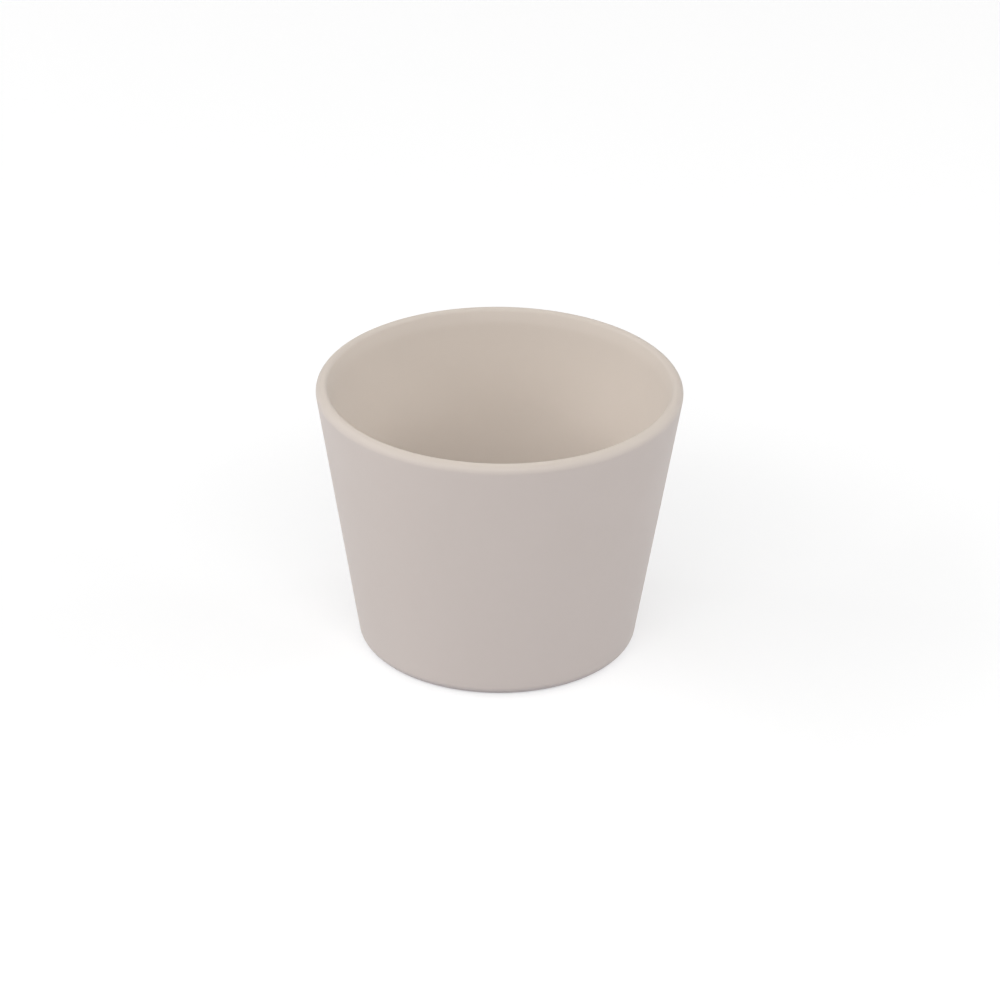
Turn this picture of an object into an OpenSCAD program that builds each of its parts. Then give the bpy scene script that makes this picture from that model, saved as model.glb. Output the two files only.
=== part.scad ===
// Conical bowl, moulded in one piece: a straight wall that leans outwards, an open top with a rounded
// rim, a rounded base corner, and a shallow recess underneath that leaves a flat ring to stand on.
// Millimetres, +Z up. The bowl's axis is Z and the origin is the centre of the face it stands on.

/* [Body] */
// Diameter over the rim
rim_d = 80; // [70:1:92]
// Height from the standing face to the top of the rim
body_h = 61; // [50:1:75]
// Diameter of the outer wall carried straight down to the standing face
base_d = 60.5; // [52:0.5:64]

/* [Wall] */
// Thickness of the wall, square to its slope
wall_t = 3.2; // [2.4:0.1:5]
// Thickness of the floor above the recess
floor_t = 3; // [1.5:0.1:8]

/* [Rounded edges] */
// Radius of the rim's outer edge
rim_edge_r = 1.6; // [0.3:0.1:1.8]
// Width of the slope that leads from the rim down to the inner wall
lip_w = 0.6; // [0.2:0.1:0.8]
// Depth of that slope
lip_h = 2.8; // [2:0.2:6]
// Radius of the bend where that slope meets the inner wall
lip_foot_r = 8; // [1:0.5:10]
// Radius of the corner where the outer wall turns under to the standing face
base_corner_r = 2.8; // [0.5:0.1:6]
// Radius of the corner between the inner wall and the floor
floor_corner_r = 6; // [1:0.5:12]

/* [Underside] */
// Width of the flat ring that the bowl stands on
ring_w = 3.5; // [1.5:0.5:8]
// Depth of the recess inside that ring
recess_h = 1; // [0.4:0.1:2]
// Radius of both edges of the recess
recess_edge_r = 0.4; // [0.1:0.05:0.45]

/* [Hidden] */
$fn = 180;

// Flat left between two rounds: on top of the rim, and on the lip's slope
land = 0.1;
// Largest share of the wall beside the lip that the rim's outer edge may take
edge_share = 0.66;
// How far the shape that rounds a corner reaches past the corner's edges
past_edge = 0.5;
// Extra radius that makes an arc cross the edges it rounds instead of grazing them
hair = 0.001;

edge_r = min(rim_edge_r, edge_share * (wall_t - lip_w));

// The outer wall rises from the base diameter and touches the round of the rim's outer edge,
// so that the diameter over the rim comes out exact.
rim_round = [rim_d / 2 - edge_r, body_h - edge_r];
base_to_round = rim_round - [base_d / 2, 0];
wall_angle = atan2(base_to_round[1], base_to_round[0]) - asin(edge_r / norm(base_to_round));
wall_run = 1 / tan(wall_angle);
level_t = wall_t / sin(wall_angle);

// The lip's slope. The round at its top takes what the outer edge and the land leave of the wall,
// and the bend at its foot takes no more than the rest of the slope.
lip_foot_z = body_h - lip_h;
lip_slope = [lip_w + lip_h * wall_run, lip_h];
lip_angle = atan2(lip_slope[1], lip_slope[0]);
lip_top_room = level_t - lip_w - land - edge_r / tan(wall_angle / 2);
lip_top_r = lip_top_room / tan(lip_angle / 2);
lip_foot_room = norm(lip_slope) - lip_top_room - land;
foot_r = min(lip_foot_r, lip_foot_room / tan((wall_angle - lip_angle) / 2));

floor_z = recess_h + floor_t;
ring_outer_r = base_d / 2 - base_corner_r / tan((180 - wall_angle) / 2);
ring_inner_r = ring_outer_r - ring_w - recess_edge_r;

// Radius of the outer wall at height z
function outer_wall_r(z) = base_d / 2 + z * wall_run;

// Radius of the inner wall at height z
function inner_wall_r(z) = outer_wall_r(z) - level_t;

// Right half of the bowl's section, corner by corner: [radius, height, rounding]
corners = [
    [0, recess_h, 0],
    [ring_inner_r, recess_h, recess_edge_r],
    [ring_inner_r, 0, recess_edge_r],
    [base_d / 2, 0, base_corner_r],
    [outer_wall_r(body_h), body_h, edge_r],
    [inner_wall_r(body_h) + lip_w, body_h, lip_top_r],
    [inner_wall_r(lip_foot_z), lip_foot_z, foot_r],
    [inner_wall_r(floor_z), floor_z, floor_corner_r],
    [0, floor_z, 0],
];

function point(i) = [corners[i][0], corners[i][1]];
function unit(v) = v / norm(v);
function turn(a, b, c) = cross(b - a, c - b);

// Area between the sharp corner b, whose neighbours are a and c, and the arc that rounds it,
// carried past both edges so that it never ends on them
module spandrel(a, b, c, r) {
    to_a = unit(a - b);
    to_c = unit(c - b);
    half_angle = acos(to_a * to_c) / 2;
    touch = r / tan(half_angle);
    to_corner = -unit(to_a + to_c) * r / sin(half_angle);
    reach = 1 + past_edge / r;
    translate(b - to_corner)
        difference() {
            polygon([
                [0, 0],
                (to_corner + to_c * touch) * reach,
                to_corner * reach,
                (to_corner + to_a * touch) * reach,
            ]);
            circle(r + hair);
        }
}

// Spandrels of the section's outward corners (side = 1) or of its inward ones (side = -1)
module spandrels(side) {
    for (i = [1:len(corners) - 2]) {
        if (sign(turn(point(i - 1), point(i), point(i + 1))) == side) {
            spandrel(point(i - 1), point(i), point(i + 1), corners[i][2]);
        }
    }
}

module section() {
    difference() {
        union() {
            polygon([for (i = [0:len(corners) - 1]) point(i)]);
            spandrels(-1);
        }
        spandrels(1);
    }
}

module bowl() {
    color([0.78, 0.74, 0.71])
        rotate_extrude() section();
}

bowl();
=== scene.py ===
# Ivory conical bowl, moulded in one piece. Its section is drawn corner by corner,
# rounded, and turned round the axis; the rim's size and height come from the frame.
import math

import bmesh
import bpy
from mathutils import Matrix, Vector


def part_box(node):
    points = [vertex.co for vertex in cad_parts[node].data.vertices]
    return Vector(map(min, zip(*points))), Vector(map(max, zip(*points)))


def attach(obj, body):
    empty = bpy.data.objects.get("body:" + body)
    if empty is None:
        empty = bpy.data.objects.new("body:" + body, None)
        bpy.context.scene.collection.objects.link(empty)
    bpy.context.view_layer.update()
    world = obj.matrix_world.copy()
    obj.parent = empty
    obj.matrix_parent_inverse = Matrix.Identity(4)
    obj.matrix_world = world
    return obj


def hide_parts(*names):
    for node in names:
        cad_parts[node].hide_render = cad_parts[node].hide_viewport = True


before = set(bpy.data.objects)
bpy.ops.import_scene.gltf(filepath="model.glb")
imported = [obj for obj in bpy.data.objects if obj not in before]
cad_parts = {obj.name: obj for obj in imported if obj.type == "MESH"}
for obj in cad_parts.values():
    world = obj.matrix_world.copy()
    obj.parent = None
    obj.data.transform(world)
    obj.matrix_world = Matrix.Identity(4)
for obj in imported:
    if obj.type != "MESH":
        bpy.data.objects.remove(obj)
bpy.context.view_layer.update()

boxLow, boxHigh = (Vector(corner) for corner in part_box("bowl"))
scene = bpy.context.scene
mm = 0.001


# Section: points are (distance from the axis, height)

def roundedCorner(before, corner, after, radius, stepDegrees):
    # arc that touches both edges of a corner
    toBefore = (before - corner).normalized()
    toAfter = (after - corner).normalized()
    half = toBefore.angle(toAfter) / 2
    reach = radius / math.tan(half)
    centre = corner + (toBefore + toAfter).normalized() * radius / math.sin(half)
    first = corner + toBefore * reach - centre
    sweep = math.pi - 2 * half
    if first.cross(corner + toAfter * reach - centre) < 0:
        sweep = -sweep
    steps = max(3, math.ceil(math.degrees(abs(sweep)) / stepDegrees))
    start = math.atan2(first.y, first.x)
    angles = [start + sweep * k / steps for k in range(steps + 1)]
    return [centre + Vector((math.cos(a), math.sin(a))) * radius for a in angles]


def roundedSection(corners, stepDegrees):
    places = [Vector(corner[:2]) for corner in corners]
    points = [places[0]]
    for k in range(1, len(corners) - 1):
        points += roundedCorner(places[k - 1], places[k], places[k + 1],
                                corners[k][2], stepDegrees)
    return points + [places[-1]]


def splitLongRuns(points, longest, guard):
    # rings close to each arc keep the smooth shading of the straight runs clean
    result = [points[0]]
    for a, b in zip(points, points[1:]):
        run = (b - a).length
        if run > longest:
            count = int(run // longest)
            shares = [guard / run] + [k / count for k in range(1, count)] + [1 - guard / run]
            result += [a.lerp(b, share) for share in shares]
        result.append(b)
    return result


def turnedMesh(name, points, sides):
    # a point on the axis becomes one vertex, any other a ring
    mesh = bpy.data.meshes.new(name)
    work = bmesh.new()
    turn = 2 * math.pi / sides
    rings = []
    for point in points:
        if point.x == 0:
            rings.append([work.verts.new((0, 0, point.y))])
            continue
        rings.append([work.verts.new((point.x * math.cos(turn * k),
                                      point.x * math.sin(turn * k), point.y))
                      for k in range(sides)])
    for low, high in zip(rings, rings[1:]):
        for k in range(sides):
            after = (k + 1) % sides
            if len(low) == 1:
                work.faces.new((low[0], high[after], high[k]))
            elif len(high) == 1:
                work.faces.new((low[k], low[after], high[0]))
            else:
                work.faces.new((low[k], low[after], high[after], high[k]))
    bmesh.ops.recalc_face_normals(work, faces=work.faces[:])
    for face in work.faces:
        face.smooth = True
    work.to_mesh(mesh)
    work.free()
    piece = bpy.data.objects.new(name, mesh)
    scene.collection.objects.link(piece)
    return piece


# Materials

def newMaterial(name):
    material = bpy.data.materials.new(name)
    material.use_nodes = True
    tree = material.node_tree
    tree.nodes.clear()
    return material, tree


def addNode(tree, kind, inputs=None, **settings):
    node = tree.nodes.new(kind)
    for key, value in settings.items():
        setattr(node, key, value)
    for key, value in (inputs or {}).items():
        if isinstance(value, bpy.types.NodeSocket):
            tree.links.new(value, node.inputs[key])
        else:
            node.inputs[key].default_value = value
    return node


def noiseOf(tree, place, perMetre, detail, roughness=0.5):
    return addNode(tree, "ShaderNodeTexNoise", noise_dimensions="3D", inputs={
        "Vector": place, "Scale": perMetre, "Detail": detail,
        "Roughness": roughness}).outputs["Fac"]


def spread(tree, value, low, high, fromLow=0.3, fromHigh=0.7):
    return addNode(tree, "ShaderNodeMapRange", inputs={
        "Value": value, "From Min": fromLow, "From Max": fromHigh,
        "To Min": low, "To Max": high}).outputs["Result"]


def combine(tree, operation, a, b):
    return addNode(tree, "ShaderNodeMath", operation=operation,
                   inputs={0: a, 1: b}).outputs["Value"]


# Ivory plastic: even body colour, satin skin

ivoryPlastic = {
    "colour": (0.625, 0.562, 0.505),
    "tintPale": (1.012, 1.010, 1.008),   # times the colour, where the resin runs paler
    "tintWarm": (0.988, 0.984, 0.976),   # and where it runs warmer
    "driftPerMetre": 24,                 # broad drift of the colour
    "driftShare": 0.75,                  # the fine mottle has the rest
    "mottlePerMetre": 420,
    "roughness": (0.50, 0.58),
    "polishPerMetre": 60,                # where the skin is smoother or rougher
    "diffuseRoughness": 0.4,             # a powdery mould finish evens out the shading
    "peelPerMetre": 1500,                # orange peel of the skin
    "peelHeight": 0.0000035,
    "wavePerMetre": 55,                  # sink and flow of the moulding
    "waveHeight": 0.00003,
    "ior": 1.5,
}


def makeIvoryPlastic(name, look):
    material, tree = newMaterial(name)
    place = addNode(tree, "ShaderNodeTexCoord").outputs["Object"]
    drift = noiseOf(tree, place, look["driftPerMetre"], 2)
    mottle = noiseOf(tree, place, look["mottlePerMetre"], 3)
    share = look["driftShare"]
    blend = combine(tree, "ADD", spread(tree, drift, 0.0, share),
                    spread(tree, mottle, 0.0, 1.0 - share))
    colours = [tuple(c * t for c, t in zip(look["colour"], look[tint])) + (1,)
               for tint in ("tintWarm", "tintPale")]
    mix = addNode(tree, "ShaderNodeMix", data_type="RGBA")
    tree.links.new(blend, mix.inputs["Factor"])
    mix.inputs[6].default_value, mix.inputs[7].default_value = colours

    polish = noiseOf(tree, place, look["polishPerMetre"], 3)
    roughness = spread(tree, polish, *look["roughness"])

    peel = noiseOf(tree, place, look["peelPerMetre"], 2)
    wave = noiseOf(tree, place, look["wavePerMetre"], 1)
    waveBump = addNode(tree, "ShaderNodeBump", inputs={
        "Height": wave, "Strength": 1.0, "Distance": look["waveHeight"]})
    peelBump = addNode(tree, "ShaderNodeBump", inputs={
        "Height": peel, "Strength": 1.0, "Distance": look["peelHeight"],
        "Normal": waveBump.outputs["Normal"]})

    plastic = addNode(tree, "ShaderNodeBsdfPrincipled", inputs={
        "Base Color": mix.outputs[2], "Roughness": roughness,
        "Normal": peelBump.outputs["Normal"], "IOR": look["ior"],
        "Diffuse Roughness": look["diffuseRoughness"]})
    addNode(tree, "ShaderNodeOutputMaterial", inputs={"Surface": plastic.outputs["BSDF"]})
    return material


# Bowl

bowl = {                       # millimetres
    "baseDiameter": 60.5,      # outer wall carried straight down to the standing face
    "wall": 3.2,               # square to its slope
    "rimEdgeRadius": 1.6,
    "lipWidth": 0.6,           # the slope inside the rim
    "lipDepth": 2.8,
    "lipFootRadius": 8.0,
    "land": 0.1,               # flat left between two rounds
    "baseCornerRadius": 2.8,
    "floorTop": 4.0,
    "floorCornerRadius": 6.0,
    "ringWidth": 3.5,
    "recess": 1.0,
    "recessEdgeRadius": 0.4,
    "arcStep": 5,              # degrees between rings on a round
    "longestRun": 3.0,         # between rings elsewhere
    "guard": 0.15,             # from a round to the next ring
    "sides": 288,
}


def bowlCorners(sizes):
    rimRadius = (boxHigh.x - boxLow.x) / 2 / mm
    height = boxHigh.z / mm
    base = sizes["baseDiameter"] / 2
    edge = sizes["rimEdgeRadius"]
    # the outer wall touches the round of the rim's outer edge
    rise, run = height - edge, rimRadius - edge - base
    slope = math.atan2(rise, run) - math.asin(edge / math.hypot(rise, run))
    levelWall = sizes["wall"] / math.sin(slope)

    def outer(z):
        return base + z / math.tan(slope)

    def inner(z):
        return outer(z) - levelWall

    # the round at the lip's top takes what the rim's edge leaves of the wall
    lipFoot = height - sizes["lipDepth"]
    lipRun = sizes["lipWidth"] + sizes["lipDepth"] / math.tan(slope)
    lipSlope = math.atan2(sizes["lipDepth"], lipRun)
    topRoom = levelWall - sizes["lipWidth"] - sizes["land"] - edge / math.tan(slope / 2)
    ringOuter = base - sizes["baseCornerRadius"] / math.tan((math.pi - slope) / 2)
    ringInner = ringOuter - sizes["ringWidth"] - sizes["recessEdgeRadius"]
    return [                                   # distance, height, rounding
        (0, sizes["recess"], 0),
        (ringInner, sizes["recess"], sizes["recessEdgeRadius"]),
        (ringInner, 0, sizes["recessEdgeRadius"]),
        (base, 0, sizes["baseCornerRadius"]),
        (outer(height), height, edge),
        (inner(height) + sizes["lipWidth"], height, topRoom / math.tan(lipSlope / 2)),
        (inner(lipFoot), lipFoot, sizes["lipFootRadius"]),
        (inner(sizes["floorTop"]), sizes["floorTop"], sizes["floorCornerRadius"]),
        (0, sizes["floorTop"], 0),
    ]


section = roundedSection(bowlCorners(bowl), bowl["arcStep"])
section = splitLongRuns(section, bowl["longestRun"], bowl["guard"])
bowlPiece = turnedMesh("mouldedBowl", [point * mm for point in section], bowl["sides"])
bowlPiece.data.materials.append(makeIvoryPlastic("ivoryPlastic", ivoryPlastic))
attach(bowlPiece, "root")
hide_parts("bowl")
print("bowl:", len(section), "rings,", len(bowlPiece.data.polygons), "faces")


# Backdrop and floor: white to the eye, with a soft shadow on the floor,
# which throws back less light than it shows

studioWorld = {
    "background": 1.0,
    "fill": 0.02,              # light that comes from all round
}

studioFloor = {
    "size": 8.0,               # metres
    "cells": 8,                # along each side
    "shownWhite": 0.55,        # colour to the eye
    "shownGlow": 0.48,
    "bounceColour": (0.34, 0.34, 0.41),   # for the light that it throws back
    "bounceGlow": 0.35,        # times that colour, even in the bowl's shadow
    "gap": 0.00002,            # under the bowl, so that the two share no plane
    "fadeFrom": 0.4,           # metres from the bowl, where it turns into backdrop
    "fadeTo": 1.0,
}


def makeFloorMaterial(name, look):
    material, tree = newMaterial(name)
    path = addNode(tree, "ShaderNodeLightPath")
    direct = combine(tree, "MAXIMUM", path.outputs["Is Camera Ray"],
                     path.outputs["Is Transmission Ray"])
    seen = combine(tree, "MAXIMUM", direct, path.outputs["Is Glossy Ray"])
    shown = addNode(tree, "ShaderNodeAddShader", inputs={
        0: addNode(tree, "ShaderNodeBsdfDiffuse", inputs={
            "Color": (look["shownWhite"],) * 3 + (1,)}).outputs["BSDF"],
        1: addNode(tree, "ShaderNodeEmission", inputs={
            "Strength": look["shownGlow"]}).outputs["Emission"]})
    bounce = addNode(tree, "ShaderNodeAddShader", inputs={
        0: addNode(tree, "ShaderNodeBsdfDiffuse", inputs={
            "Color": look["bounceColour"] + (1,)}).outputs["BSDF"],
        1: addNode(tree, "ShaderNodeEmission", inputs={
            "Color": look["bounceColour"] + (1,),
            "Strength": look["bounceGlow"]}).outputs["Emission"]})
    near = addNode(tree, "ShaderNodeMixShader", inputs={
        0: seen, 1: bounce.outputs["Shader"], 2: shown.outputs["Shader"]})
    # from low down the floor is seen far out, where it is as white as the backdrop
    away = addNode(tree, "ShaderNodeVectorMath", operation="LENGTH", inputs={
        0: addNode(tree, "ShaderNodeTexCoord").outputs["Object"]}).outputs["Value"]
    far = combine(tree, "MULTIPLY", direct,
                  spread(tree, away, 0.0, 1.0, look["fadeFrom"], look["fadeTo"]))
    upper = addNode(tree, "ShaderNodeMixShader", inputs={
        0: far, 1: near.outputs["Shader"],
        2: addNode(tree, "ShaderNodeEmission", inputs={
            "Strength": studioWorld["background"]}).outputs["Emission"]})
    # open from underneath, so that the base can be looked at
    below = addNode(tree, "ShaderNodeMixShader", inputs={
        0: addNode(tree, "ShaderNodeNewGeometry").outputs["Backfacing"],
        1: upper.outputs["Shader"],
        2: addNode(tree, "ShaderNodeBsdfTransparent").outputs["BSDF"]})
    addNode(tree, "ShaderNodeOutputMaterial", inputs={"Surface": below.outputs["Shader"]})
    return material


def makeFloor(look):
    mesh = bpy.data.meshes.new("studioFloor")
    work = bmesh.new()
    bmesh.ops.create_grid(work, x_segments=look["cells"], y_segments=look["cells"],
                          size=look["size"] / 2)
    work.to_mesh(mesh)
    work.free()
    piece = bpy.data.objects.new("studioFloor", mesh)
    piece.location.z = -look["gap"]
    scene.collection.objects.link(piece)
    piece.data.materials.append(makeFloorMaterial("studioFloor", look))
    return piece


floorPiece = makeFloor(studioFloor)
print("floor: made")


# Light: soft boxes round the bowl, given by where they stand, how wide they look
# from the bowl, and how bright they are (1 is white)

softBoxes = {
    # name: bearing (0 is the camera's side, + is to its right), height angle,
    #       width and height in degrees, brightness
    "front": (-3, 41, 60, 24, 4.75),
    "left": (-78, 31, 56, 22, 4.25),
    "right": (80, 30, 56, 20, 3.5),
    "backLeft": (-128, 36, 40, 22, 2.3),
    "backRight": (126, 32, 38, 20, 2.7),
}
softBoxDistance = 1.6          # metres


def makeWorld(look):
    world = bpy.data.worlds.new("studio")
    scene.world = world
    world.use_nodes = True
    tree = world.node_tree
    tree.nodes.clear()
    path = addNode(tree, "ShaderNodeLightPath")
    direct = combine(tree, "MAXIMUM", path.outputs["Is Camera Ray"],
                     path.outputs["Is Transmission Ray"])
    back = addNode(tree, "ShaderNodeBackground", inputs={
        "Color": (1, 1, 1, 1),
        "Strength": spread(tree, direct, look["fill"], look["background"], 0.0, 1.0)})
    addNode(tree, "ShaderNodeOutputWorld", inputs={"Surface": back.outputs["Background"]})


def makeSoftBox(name, bearing, rise, wide, high, brightness):
    lamp = bpy.data.lights.new(name, "AREA")
    lamp.shape = "RECTANGLE"
    lamp.size = 2 * softBoxDistance * math.tan(math.radians(wide / 2))
    lamp.size_y = 2 * softBoxDistance * math.tan(math.radians(high / 2))
    lamp.energy = brightness * math.pi * lamp.size * lamp.size_y
    holder = bpy.data.objects.new(name, lamp)
    scene.collection.objects.link(holder)
    a, e = math.radians(bearing), math.radians(rise)
    outward = Vector((math.sin(a) * math.cos(e), -math.cos(a) * math.cos(e), math.sin(e)))
    holder.location = Vector((0, 0, boxHigh.z / 2)) + outward * softBoxDistance
    holder.rotation_euler = outward.to_track_quat("Z", "Y").to_euler()
    return holder


makeWorld(studioWorld)
for name, values in softBoxes.items():
    makeSoftBox(name, *values)
print("light:", len(softBoxes), "soft boxes")


# Camera

shot = {
    "distance": 1.2,           # metres from the aim
    "elevation": 27.56,        # degrees above the floor
    "roll": 0.61,              # degrees
    "aimSide": 0.00034,        # metres
    "aimHeight": 0.03247,
    "lens": 196.5,             # millimetres, on a sensor this wide
    "sensor": 36,
    "near": 0.01,
    "far": 50,
}


def makeCamera(view):
    data = bpy.data.cameras.new("shot")
    holder = bpy.data.objects.new("shot", data)
    scene.collection.objects.link(holder)
    e, roll = math.radians(view["elevation"]), math.radians(view["roll"])
    back = Vector((0, -math.cos(e), math.sin(e)))
    side, up = Vector((1, 0, 0)), Vector((0, math.sin(e), math.cos(e)))
    right = side * math.cos(roll) + up * math.sin(roll)
    above = up * math.cos(roll) - side * math.sin(roll)
    place = Vector((view["aimSide"], 0, view["aimHeight"])) + back * view["distance"]
    turn = Matrix((right, above, back)).transposed()
    holder.matrix_world = Matrix.Translation(place) @ turn.to_4x4()
    data.sensor_width = view["sensor"]
    data.lens = view["lens"]
    data.clip_start, data.clip_end = view["near"], view["far"]
    scene.camera = holder


makeCamera(shot)
scene.view_settings.view_transform = "Standard"
print("camera: set")
